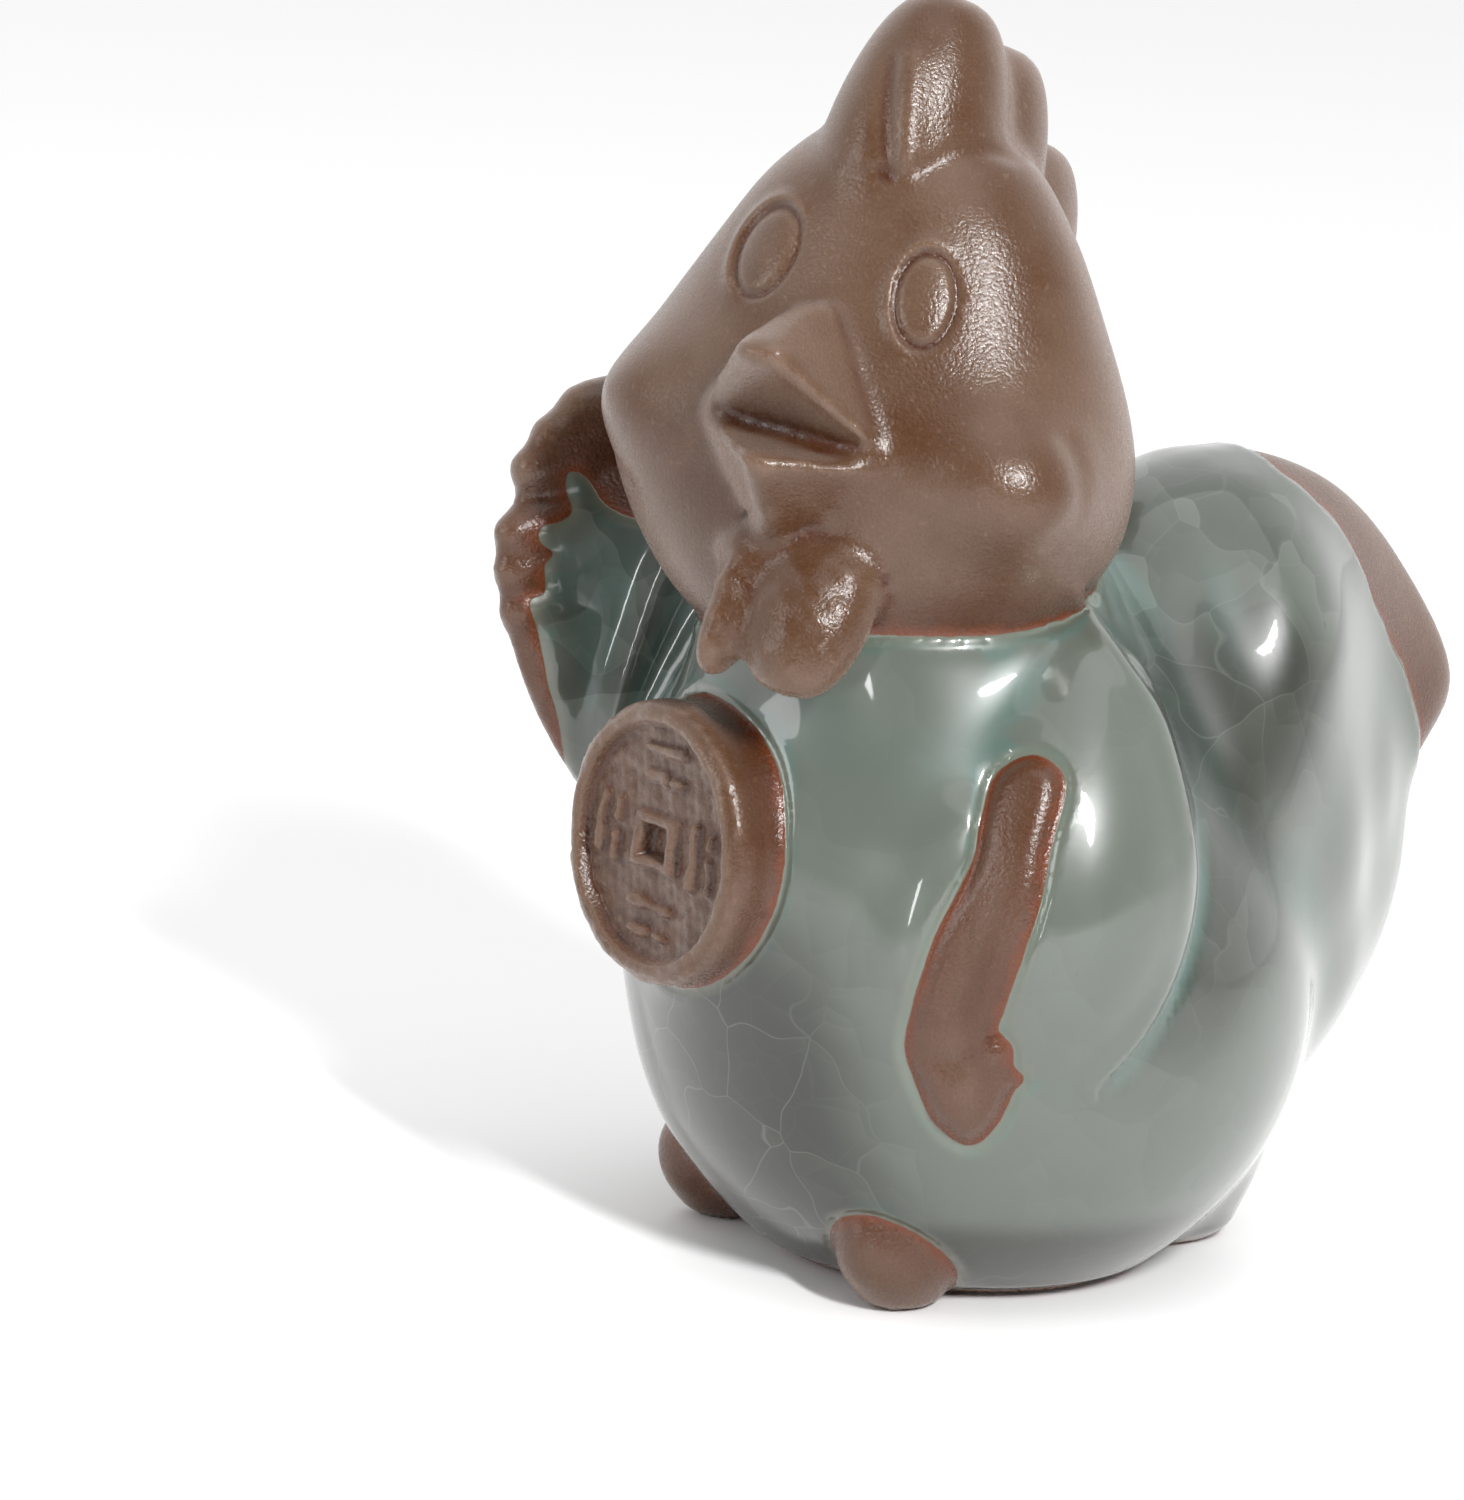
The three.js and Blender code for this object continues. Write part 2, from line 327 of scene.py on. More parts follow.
def form(name, shape, around=96, rings=64):
    """Adds a ball and moves its points to a shape, with nothing below the ground."""
    piece = basic(name, bpy.ops.mesh.primitive_uv_sphere_add, segments=around, ring_count=rings, radius=1)
    points = shape(*(points_of(piece) * MM).T)
    points[:, 2] = np.maximum(points[:, 2], 0)
    move_points(piece, points)
    return piece


def turned(profile):
    """The radius and height of a turned shape for each point of a ball."""
    line = smooth_line(profile, even=True)

    def at(x, y, z):
        share = 1 - np.arccos(np.clip(z, -1, 1)) / math.pi
        r, h = along_line(line, share).T
        around = np.hypot(x, y)
        r = np.where(around > 1e-5, np.maximum(r, 0), 0) / np.maximum(around, 1e-5)
        return x * r, y * r, h

    return at


def limb(path, width, height, across):
    """A round-ended limb along a path, with its half width and half height."""
    line = smooth_line(path)
    ahead = np.gradient(line, axis=0)

    def at(x, y, z):
        u = (1 + np.clip(z, -1, 1)) / 2
        centre = along_line(line, u)
        way = along_line(ahead, u)
        way /= np.linalg.norm(way, axis=1)[:, None]
        side = np.array(across) - way * (way @ np.array(across))[:, None]
        side /= np.linalg.norm(side, axis=1)[:, None]
        up = np.cross(way, side)
        around = np.hypot(x, y)
        full = np.where(around > 0.01, np.maximum(around, 0.01) ** -0.45, 0)
        return centre + side * (x * full * width)[:, None] + up * (y * full * height)[:, None]

    return at


def plate(outline, centre, thickness, place, fullness=0.62):
    """A plate with a free outline; place turns its u, v and w into a point."""
    line = smooth_line(outline, closed=True, count=1200)

    def at(x, y, z):
        share = (np.arctan2(y, x) / (2 * math.pi) + 1) % 1
        reach = np.minimum(1, np.hypot(x, y)) ** fullness
        edge = along_line(line, share, by_length=True)
        u = mix(centre[0], edge[:, 0], reach)
        v = mix(centre[1], edge[:, 1], reach)
        return place(u, v, swell(z, 0.8) * thickness(u, v) / 2, reach)

    return at


def body_lean(z, sizes):
    """How far the body leans at a height, towards the front."""
    return -sizes.neck_lean / MM * ease(z, 14, 60)


def body_form(sizes):
    """The round body up to the neck."""
    radius, middle = sizes.body_radius / MM, sizes.body_middle / MM
    neck, neck_height = sizes.neck_radius / MM, sizes.neck_height / MM
    at = turned([
        (0, middle - radius),
        (radius * 0.5, middle - radius * 0.87),
        (radius * 0.87, middle - radius * 0.5),
        (radius, middle),
        (radius * 0.9, 32),
        (mix(radius, neck, 0.66), 40),
        (neck, neck_height),
        (neck * 0.75, 55),
        (0, 58),
    ])

    def shape(x, y, z):
        x, y, z = at(x, y, z)
        return np.stack([x, y + body_lean(z, sizes), z], 1)

    return form("body", shape, 160, 96)


def folded_wing_form(sizes):
    """The folded left wing is a low swelling on the body's side."""
    def shape(x, y, z):
        low = (1 - z) / 2
        round_in = np.sin(low * math.pi)
        back = np.where(y > 0, 8.8, 9.5)
        height = 29 + 18.5 * z
        across = back * y * mix(0.92, 1, round_in) + mix(4.2, -4.8, low)
        out = 13.2 + mix(6, 12.4, np.maximum(round_in, 0) ** 0.7) * swell(x, 0.7)
        return np.stack([out, across - 4.5 + 0.25 * body_lean(height, sizes), height], 1)

    return form("folded_wing", shape)


def skull_form(sizes):
    """The head is a pear with wide cheeks, modelled facing -Y and then turned."""
    at = turned([
        (0, -1), (0.46, -0.9), (0.8, -0.64), (0.97, -0.34), (0.985, -0.1),
        (0.91, 0.14), (0.76, 0.42), (0.58, 0.7), (0.34, 0.92), (0, 1),
    ])

    def shape(x, y, z):
        x, y, z = at(x, y, z)
        forward = -3.2 * ease(z, 0, 0.85)
        cheek = hump(np.abs(x), 0.8, 0.24) * hump(z, -0.24, 0.2) * ease(-y, 0.02, 0.4)
        depth = np.where(y < 0, sizes.head_front, sizes.head_back) / MM
        return from_head(np.stack([
            x * sizes.head_half_width / MM + 0.8 * cheek * np.sign(x),
            y * depth + forward - 1.7 * cheek,
            z * sizes.head_half_height / MM,
        ], 1))

    return form("skull", shape, 128, 96)


def comb_forms(sizes):
    """The comb is a thick scalloped fan: three lobes running back over the crown, and the base under them."""
    thickness = sizes.comb_thickness / MM
    # Middle, half length, half height, lean and how thick
    lobes = [
        (-0.7, -5.4, 17.3, 6.5, 9.7, -0.4, 1.22),
        (0, 0.8, 16.2, 6.4, 9.3, 0.7, 1.1),
        (0, 9, 12.4, 7.2, 8.4, 1.2, 0.98),
        (-0.1, -0.6, 13, 9.4, 10.8, 0.2, 1.18),
    ]

    def lobe(n, x, y, z, reach, height, lean, thick):
        def shape(a, b, c):
            taper = (1 - 0.2 * c) * np.maximum(np.hypot(a, b), 0.04) ** -0.42
            return from_head(np.stack([
                x + a * thickness * thick / 2 * taper,
                y + reach * b * taper + lean * c,
                z + height * c,
            ], 1))
        return form(f"comb_{n}", shape, 64, 48)

    return [lobe(n, *row) for n, row in enumerate(lobes)]


def hull_form(name, corners):
    """The tight skin round a few corners, given in the head's own frame."""
    piece = basic(name, bpy.ops.mesh.primitive_circle_add, vertices=len(corners), radius=1, fill_type="NOTHING")
    move_points(piece, from_head(np.array(corners, float)))
    edit_all(bpy.ops.mesh.convex_hull)
    return piece


# Corners of the open beak: pixel across, pixel down, and depth in the head's own frame
UPPER_BEAK = [
    (789, 303, -14.4), (826, 297, -14), (734, 338, -20.8), (778, 345, -20.8), (741, 357, -21), (767, 364, -20.9),
    (696, 407, -13.3), (892, 462, -12.65),
]
LOWER_BEAK = [
    (736, 446, -18.8), (756, 452, -18.8), (741, 465, -18.7), (757, 470, -18.7),
    (698, 412, -13.3), (892, 469, -12.65), (757, 538, -13.2), (778, 540, -13.2), (838, 512, -11.8),
]


def beak_forms():
    """The open beak: two blunt wedges that meet along the mouth's corners."""
    upper = [from_picture(*corner) for corner in UPPER_BEAK]
    lower = [from_picture(*corner) for corner in LOWER_BEAK]
    upper += [(-5, -8, -4), (6.5, -8, -4), (-1, -9, 2.6), (1, -9, 2.6)]
    lower += [(-5, -8, -5), (6.5, -8, -5), (-3.6, -10.6, -8), (-1, -9, -12), (3, -9, -12)]
    return [hull_form("upper_beak", upper), hull_form("lower_beak", lower)]


def wattle_forms():
    """Two wattles side by side under the beak, the left one broad, and the chin that carries them."""
    def wattle(n, x, width, deep, length, low, lean):
        def shape(a, b, c):
            full = np.maximum(np.hypot(a, b), 0.04) ** -0.34
            return from_head(np.stack([
                x + width * a * full + lean * c,
                -10.6 + deep * b * full + 1.1 * c,
                low + length * c * (1 - 0.1 * c),
            ], 1))
        return form(f"wattle_{n}", shape, 48, 32)

    def chin(a, b, c):
        return from_head(from_picture(778, 556, -10.6) + np.stack([4.6 * a, 2.2 * b, 3.6 * c], 1))

    return [
        wattle(0, -0.7, 1.9, 3, 5.8, -15.4, 0.2), wattle(1, 4.7, 4.5, 3.3, 5.8, -15.3, -0.3),
        form("chin", chin, 48, 32),
    ]


def coin_form(sizes):
    """A thick disc with a rounded edge, half sunk in the belly."""
    radius, depth = sizes.coin_radius / MM, sizes.coin_thickness / MM
    piece = basic("coin", bpy.ops.mesh.primitive_cylinder_add, vertices=128, radius=radius, depth=depth)
    edit_all(bpy.ops.mesh.bevel, offset=0.6, segments=3, clamp_overlap=True)
    move_points(piece, points_of(piece) * MM @ COIN_AXES.T + COIN_CENTRE)
    return piece


def wing_cup(u):
    """How far the raised wing bends towards the face at its outer edge."""
    return 2.6 * (np.maximum(0, 1 - u) / 8) ** 2 - 1.5 * ease(u, 6, 18)


def raised_wing_form():
    """The raised right wing is a thick cupped plate beside the face."""
    outline = [
        (19, 2), (14, 12), (4.5, 13.8), (-4, 10.6), (-8, 2.2), (-6.6, -6.5), (-1.5, -15.6), (7, -22), (17, -14),
    ]
    return form("raised_wing", plate(
        outline, (5, -3), lambda u, v: 5.6 + 0 * u,
        lambda u, v, w, reach: from_wing(u, v, wing_cup(u) + w),
    ), 160, 64)


def wing_tip_forms():
    """Seven feather tips curl over the raised wing's outer edge like fingers."""
    # Root and tip in the wing's own plane, and how thick
    tips = [
        ((4, 12.6), (-4.6, 11.2), 3.2),
        ((2.4, 11), (-6.3, 9.1), 3.2),
        ((0.4, 9.4), (-7.5, 6.6), 3.1),
        ((-1.4, 4.6), (-8.4, 2.2), 2.9),
        ((-1.8, 1.4), (-8.3, -0.4), 2.8),
        ((-1.6, -1.2), (-7.8, -3.3), 2.7),
        ((0.4, -6), (-5.6, -8.6), 1.9),
    ]
    made = []
    for n, (root, tip, size) in enumerate(tips):
        u = mix(root[0], tip[0], np.array([0, 0.5, 1]))
        v = mix(root[1], tip[1], np.array([0, 0.5, 1]))
        path = from_wing(u, v, wing_cup(u) + 0.9)
        made.append(form(f"wing_tip_{n}", limb(path, size * 0.72, size * 0.66, WING_AXES[2]), 32, 32))
    return made


def tail_form():
    """A thick fan rising behind the head and running down to the ground."""
    outline = [
        (38.4, 31), (42.3, 36.8), (36.4, 46.4), (27, 53.4), (16.5, 55.4), (6, 50), (2, 28),
        (5, 8), (10, -5), (17, -5), (24, 4.6), (32.4, 15), (37, 23),
    ]

    def thickness(y, z):
        thin = 1 - 0.3 * ease(z, 34, 54) - 0.35 * ease(-z, -14, 2)
        return mix(40.5, 10, ease(y, 2, 40)) * thin

    def place(y, z, w, reach):
        ridge = np.sin(np.arctan2(z - 16, y - 2) * 7.5 + 0.4) * ease(reach, 0.3, 0.85)
        curl = -2.4 * ease(y + 0.4 * z, 34, 58)
        return np.stack([curl + w * (1 + 0.08 * ridge) + 0.4 * ridge, y, z], 1)

    return form("tail", plate(outline, (18, 25), thickness, place, 0.72), 192, 96)


def tail_root_form():
    """Fills the hollow between the round body and the tail, so that the tail runs down in one sweep."""
    def shape(x, y, z):
        return np.stack([1 + 15 * x * (1 - 0.25 * z), 12.2 + 8.6 * y, 27 + 23 * z], 1)

    return form("tail_root", shape, 96, 64)


def foot_forms():
    """The feet are two plain bumps under the front of the body."""
    def foot(name, sign):
        def shape(x, y, z):
            return np.stack([sign * (10.8 - 0.4 * y) + 4 * x, -12.2 + 5 * y, 4 + 4.6 * z - 0.8 * y], 1)
        return form(name, shape, 48, 32)

    return [foot("right_foot", -1), foot("left_foot", 1)]


# From forms to one cast


def nearest_to(pieces):
    """A function for the distance from points to the nearest of some forms."""
    depsgraph = bpy.context.evaluated_depsgraph_get()
    trees = [BVHTree.FromObject(piece, depsgraph) for piece in pieces]

    def distance(points, reach=6.0):
        best = np.full(len(points), reach)
        for i, p in enumerate(points * MM):
            spot = Vector(p)
            for tree in trees:
                found = tree.find_nearest(spot, best[i] * MM)
                if found[0] is not None:
                    best[i] = min(best[i], found[3] / MM)
        return best

    return distance


def fuse(pieces, name):
    """Joins the forms and remeshes them into one closed skin."""
    bpy.ops.object.select_all(action="DESELECT")
    for piece in pieces:
        piece.select_set(True)
    bpy.context.view_layer.objects.active = pieces[0]
    bpy.ops.object.join()
    skin = bpy.context.object
    skin.name = name
    bpy.ops.object.modifier_add(type="REMESH")
    remesh = skin.modifiers[-1]
    remesh.mode = "VOXEL"
    remesh.voxel_size = VOXEL * MM
    remesh.adaptivity = 0
    bpy.ops.object.modifier_apply(modifier=remesh.name)
    return skin


def hollow_of(piece, rounds):
    """How hollow the surface is, in 1/mm: positive in a groove, negative on an edge."""
    points, edges = points_of(piece), edges_of(piece)
    lengths = np.linalg.norm(points[edges[:, 0]] - points[edges[:, 1]], axis=1)
    count = np.bincount(edges.ravel(), minlength=len(points))
    size = (np.bincount(edges[:, 0], lengths, len(points)) + np.bincount(edges[:, 1], lengths, len(points))) / count
    pull = spread(points, edges, 1, 1.0) - points
    bend = (pull * normals_of(piece)).sum(1) / np.maximum(size, 0.05) ** 2 * 4
    return spread(np.clip(bend, -3, 3), edges, rounds)


def densify(piece, wanted):
    """Cuts each face whose points are all wanted into four."""
    select_only(piece)
    bpy.ops.object.mode_set(mode="EDIT")
    bpy.ops.mesh.select_all(action="DESELECT")
    bpy.ops.object.mode_set(mode="OBJECT")
    corners = read(piece.data.loops, "vertex_index", 1, np.int32)[:, 0]
    starts = read(piece.data.polygons, "loop_start", 1, np.int32)[:, 0]
    piece.data.polygons.foreach_set("select", np.logical_and.reduceat(wanted[corners], starts))
    bpy.ops.object.mode_set(mode="EDIT")
    bpy.ops.mesh.select_mode(type="FACE")
    bpy.ops.mesh.subdivide(number_cuts=1, smoothness=0)
    bpy.ops.object.mode_set(mode="OBJECT")


# Relief: heights in millimetres along the surface's normal

# Eyes: middle in the picture, half width, half height, tilt in degrees, and a spot inside the head's own frame
EYES = [
    ((766, 250), 26, 48, 27, (-6.1, -10.9, 6.4)),
    ((925, 299), 31, 47, 8, (6.2, -11.1, 6.4)),
]


def eye_places(seen, local):
    """Distance from each eye's middle, with 1 on the groove, and how far right of and above it a point shows."""
    for (column, row), half_width, half_height, tilt, spot in EYES:
        off = seen - np.array([column, row])
        c, d = math.cos(math.radians(tilt)), math.sin(math.radians(tilt))
        a = (off[:, 0] * c + off[:, 1] * d) / half_width
        b = (off[:, 0] * d - off[:, 1] * c) / half_height
        near = np.linalg.norm(local - np.array(spot), axis=1) < 6
        yield np.where(near, np.hypot(a, b), WELL_OFF), a, b


def eye_relief(seen, local):
    """Each eye is a low disc in a groove, under a lid."""
    height = np.zeros(len(local))
    for ring, a, b in eye_places(seen, local):
        out = (ring - 1) * 2.5
        lid = 0.32 * hump(out, 0.5, 0.4) * ease(0.5 * b - 0.9 * a, -0.7, 0.7)
        groove = -0.24 * hump(out, 0, 0.28)
        disc = 0.4 * np.clip(1 - ring**2, 0, 1) ** 0.7
        height += lid + groove + disc
    return height


def near_line(points, line, width):
    """1 on a line through a few points, falling away over a width."""
    gap = np.full(len(points), FAR)
    for spot in smooth_line(line, count=80):
        gap = np.minimum(gap, ((points - spot) ** 2).sum(1))
    return np.exp(-gap / width**2)


# Lines that show on the face, in pixels of the picture
COMB_CLEFT = [(893, 60), (888, 90), (886, 130), (888, 172)]
COMB_RIDGE = [(907, 62), (906, 100), (905, 140), (902, 164)]
COMB_LEDGE = [(850, 175), (880, 172), (925, 170), (955, 153), (985, 148), (1018, 156)]
CHEEK_CREASE = [(1062, 445), (1072, 478), (1068, 512), (1046, 540)]


def signed_line(points, line):
    """Distance from a line drawn from the top down, positive on its right."""
    path = smooth_line(line, count=60)
    gap = np.full(len(points), FAR)
    side = np.ones(len(points))
    for a, b in zip(path, path[1:]):
        run, off = b - a, points - a
        far = off_stroke(points, a, b)
        nearer = far < gap
        gap = np.where(nearer, far, gap)
        side = np.where(nearer, np.sign(off[:, 0] * run[1] - off[:, 1] * run[0]), side)
    return gap * side


# The middle of the near cheek and the crease under the far one, in the head's own frame
CHEEK = (16.4, -8.2, -4.2)
FAR_CREASE = [(-18.2, -3.6, -3.6), (-17.9, -4.8, -6.6), (-16.4, -6.2, -9.4), (-13, -7.9, -11)]


def face_relief(seen, local, sizes):
    """The near cheek's bulge, the crease under each cheek, and the comb's cleft, ridge and ledge."""
    plane = in_mm(seen)
    front = (local[:, 0] > -6) & (local[:, 1] < 2)
    high = front & (local[:, 2] > 12)
    height = 1.6 * np.exp(-((local - CHEEK) ** 2).sum(1) / 5.5**2)
    height -= 0.25 * near_line(plane, in_mm(CHEEK_CREASE), 0.9) * front
    height -= 0.2 * near_line(local, FAR_CREASE, 1)
    height -= sizes.comb_cleft / MM * near_line(plane, in_mm(COMB_CLEFT), 0.95) * high
    height += 0.5 * near_line(plane, in_mm(COMB_RIDGE), 1.15) * high
    height -= 0.2 * near_line(plane, in_mm(COMB_LEDGE), 0.5) * front
    return height


def wattle_relief(points, local):
    """Small lumps in the bare clay of the wattles."""
    off = np.linalg.norm((local - np.array([3, -12.5, -15])) / np.array([7, 5.5, 6.4]), axis=1)
    return (0.11 * lumps(points, 3.2, 21) + 0.09 * lumps(points, 1.6, 22)) * (1 - ease(off, 0.75, 1.1))


# Strokes on the coin's field, from one end to the other, in millimetres from its middle
STROKES = [
    (-1.9, 6.3, 2, 6.4), (-1.6, 4.4, 0.2, 4.4), (1.3, 4.4, 2.1, 4.5),
    (-2, -4.3, 1.9, -4.4), (-1.7, -6.2, -0.2, -6.2), (0.9, -6.2, 1.9, -6.3),
    (-6.3, -1.7, -6.2, 1.9), (-4.5, -2, -4.5, -0.5), (-4.5, 0.8, -4.4, 2),
    (4.4, -1.9, 4.4, 2), (6.1, -1.9, 6.1, 0), (6.1, 1.1, 6.1, 1.8),
]


def coin_face(piece, sizes):
    """Sets the coin's face to its rim, field, square frame and rows of strokes."""
    points = points_of(piece)
    local = to_coin(points)
    a, b, h = local.T
    radius, half = sizes.coin_radius / MM, sizes.coin_thickness / MM / 2
    ring = np.hypot(a, b)
    field = sizes.coin_field / MM
    face = half - field * (1 - ease(ring, radius - 1.9, radius - 1.3))
    face += 0.08 * hump(ring, radius - 1.05, 0.45)
    square = np.maximum(np.abs(a), np.abs(b) * 1.22) + 0.12 * lumps(points, 3, 7)
    face += field * 0.75 * ease(square, 1.2, 1.6) * ease(-square, -2.5, -2)
    face -= 0.5 * ease(-square, -1.4, -1)
    rows = np.zeros(len(a))
    spots = np.stack([a, b], 1)
    for stroke in STROKES:
        gap = off_stroke(spots, np.array(stroke[:2]), np.array(stroke[2:])) + 0.16 * lumps(points, 1.9, 3)
        rows = np.maximum(rows, 1 - ease(gap, 0.12, 0.56))
    face += 0.6 * field * rows * (1 - 0.35 * lumps(points, 3.1, 4))
    face += 0.09 * lumps(points, 2.6, 5) + 0.05 * lumps(points, 1.1, 6)
    on = (h > 0.6) * ease(-ring, -radius + 0.45, -radius + 0.95)
    local[:, 2] = mix(h, face, on)
    move_points(piece, local @ COIN_AXES.T + COIN_CENTRE)


# Swellings of the tail's feathers under the glaze: y and z of the middle, half width, half height, and how high
TAIL_SWELLS = [
    (17.8, 46.4, 4.8, 6.8, 2.1), (24.2, 44.6, 4.5, 7, 0.5), (10.4, 42, 3.2, 7, -0.8), (22.6, 28, 4, 5, 0.9),
    (30.5, 31.5, 2.6, 4.4, 0.4), (25, 20.5, 3.4, 4.6, 0.5),
]


def tail_relief(points):
    """Soft swellings and valleys on both sides of the tail."""
    x, y, z = points.T
    height = sum(amount * hump(y, cy, wide) * hump(z, cz, tall) for cy, cz, wide, tall, amount in TAIL_SWELLS)
    return height * (ease(np.abs(x), 1.5, 5) * ease(y, 6, 16))


# In pixels of the picture: the swelling in front of the stripe, the knob at its end and the groove above that,
# the folded wing's rear edge from the top down, and the shaded hollow and a fold inside the raised wing
STRIPE_SHOULDER = [(962, 822), (938, 872), (915, 925), (900, 975)]
STRIPE_KNOB = (950, 1096)
STRIPE_NECK = [(924, 1050), (956, 1058), (986, 1036)]
WING_EDGE = [
    (1088, 598), (1127, 656), (1163, 710), (1181, 764), (1193, 818), (1199, 873), (1193, 927), (1173, 989),
    (1142, 1043), (1100, 1090),
]
WING_SHADE = [(552, 430), (570, 405), (612, 400), (700, 530), (640, 522), (604, 503), (587, 479), (568, 475)]
WING_FOLD = [(680, 548), (664, 570), (643, 625), (622, 690), (612, 730)]


def in_stripe(points, seen):
    """Millimetres inside the bare stripe on the folded wing."""
    depth = inside(seen, smooth_line(STRIPE_EDGE, closed=True, count=120)) / PIXELS_PER_MM
    return np.where((points[:, 0] > 12) & (points[:, 2] > 8), depth, -WELL_OFF)


def body_relief(points, seen):
    """The raised stripe with its shoulder and knob, the folded wing's edge, and the fold inside the raised wing."""
    plane = in_mm(seen)
    left = ease(points[:, 0], 10, 13)
    height = 0.85 * ease(in_stripe(points, seen), -0.15, 1.5)
    height += 0.45 * near_line(plane, in_mm(STRIPE_SHOULDER), 2.1) * left
    knob = np.hypot(*(plane - in_mm(STRIPE_KNOB)).T)
    height += left * (0.7 * hump(knob, 0, 2.6) - 0.3 * near_line(plane, in_mm(STRIPE_NECK), 0.6))
    rear = signed_line(plane, in_mm(WING_EDGE))
    height += left * (0.35 * hump(rear, -0.75, 0.7) - 0.45 * hump(rear, 0.15, 0.45))
    in_cup = ease(-points[:, 0], 10, 13) * (to_wing(points)[:, 2] > -2)
    return height + 0.7 * near_line(plane, in_mm(WING_FOLD), 1.2) * in_cup


# Glaze and bare clay


def bare_clay(points, nearest):
    """Millimetres inside the bare clay, negative under the glaze."""
    x, y, z = points.T
    seen = in_picture(points)
    bare = nearest["glazed"](points) - nearest["bare"](points) - 0.05
    bare = np.maximum(bare, 0.55 + 0.25 * lumps(points, 9, 11) - z)
    bare = np.maximum(bare, in_stripe(points, seen))
    tail = inside(points[:, 1:] + 0.3 * (x[:, None] < 0) * lumps(points, 7, 12)[:, None], TAIL_BARE)
    bare = np.maximum(bare, np.where(y > 12, tail, -WELL_OFF))
    u, v, w = to_wing(points).T
    front = -inside(seen, smooth_line(WING_GLAZE, closed=True, count=160)) / PIXELS_PER_MM
    behind = inside(np.stack([u, v], 1), WING_BACK) + 0.35 * lumps(points, 6, 14)
    on_wing = (np.abs(w) < 9) & (v > -16.5) & (x < -8) & (nearest["wing"](points) < 1.2)
    wing = np.where(w > wing_cup(u) - 1.2, front, behind)
    return np.clip(np.maximum(bare, np.where(on_wing, wing, -WELL_OFF)), -6, 6)


def glaze_step(bare, thickness):
    """The glaze stands proud of the clay with a rounded, slightly beaded edge."""
    return thickness * (ease(-bare, -0.05, 0.75) - 0.5) + 0.12 * thickness * hump(bare, -0.75, 0.5)


# Nodes


class Tree:
    """Places nodes in a material's or a group's tree and joins them."""

    def __init__(self, tree):
        self.tree = tree

    def add(self, kind, inputs=None, **settings):
        node = self.tree.nodes.new(kind)
        for name, value in settings.items():
            setattr(node, name, value)
        for name, value in (inputs or {}).items():
            self.feed(value, node.inputs[name])
        return node

    def feed(self, value, socket):
        if isinstance(value, bpy.types.NodeSocket):
            self.tree.links.new(value, socket)
        else:
            socket.default_value = value

    def maths(self, operation, *values, clamp=False):
        node = self.add("ShaderNodeMath", operation=operation, use_clamp=clamp)
        for socket, value in zip(node.inputs, values):
            self.feed(value, socket)
        return node.outputs[0]

    def times(self, a, b):
        return self.maths("MULTIPLY", a, b)

    def vector(self, operation, a, b):
        second = "Scale" if operation == "SCALE" else 1
        node = self.add("ShaderNodeVectorMath", {0: a, second: b}, operation=operation)
        return node.outputs["Value" if operation == "DOT_PRODUCT" else "Vector"]

    def noise(self, place, scale, detail, roughness=0.5):
        inputs = {"Vector": place, "Scale": scale, "Detail": detail, "Roughness": roughness}
        return self.add("ShaderNodeTexNoise", inputs).outputs

    def cells(self, place, scale, feature="F1"):
        return self.add("ShaderNodeTexVoronoi", {"Vector": place, "Scale": scale}, feature=feature).outputs

    def use(self, made, inputs):
        """Places a node group."""
        return self.add("ShaderNodeGroup", inputs, node_tree=made).outputs

    def blend(self, factor, a, b, kind="MIX"):
        node = self.add("ShaderNodeMix", data_type="RGBA", blend_type=kind, clamp_factor=True)
        self.feed(factor, node.inputs["Factor"])
        self.feed(a, node.inputs["A"])
        self.feed(b, node.inputs["B"])
        return node.outputs["Result"]

    def slope(self, value, low, high, to_low=0.0, to_high=1.0, soft=True):
        """Runs from one value at low to another at high, and stays there beyond."""
        node = self.add("ShaderNodeMapRange", {
            "Value": value, "From Min": low, "From Max": high, "To Min": to_low, "To Max": to_high,
        }, interpolation_type="SMOOTHSTEP" if soft else "LINEAR", clamp=True)
        return node.outputs["Result"]


NUMBER, PLACE = "NodeSocketFloat", "NodeSocketVector"


def group(name, inputs, outputs):
    """A node group with named inputs and outputs; returns it with its tree and what is given and wanted."""
    made = bpy.data.node_groups.new(name, "ShaderNodeTree")
    for label, kind, default in inputs:
        socket = made.interface.new_socket(label, in_out="INPUT", socket_type=kind)
        if default is not None:
            socket.default_value = default
    for label in outputs:
        made.interface.new_socket(label, in_out="OUTPUT", socket_type=NUMBER)
    tree = Tree(made)
    return made, tree, tree.add("NodeGroupInput").outputs, tree.add("NodeGroupOutput").inputs


# Painted shading: each plate of the crackle is darker at one side than at the other
PLATE_SLOPE = (0.35, 0.2, 0.62)


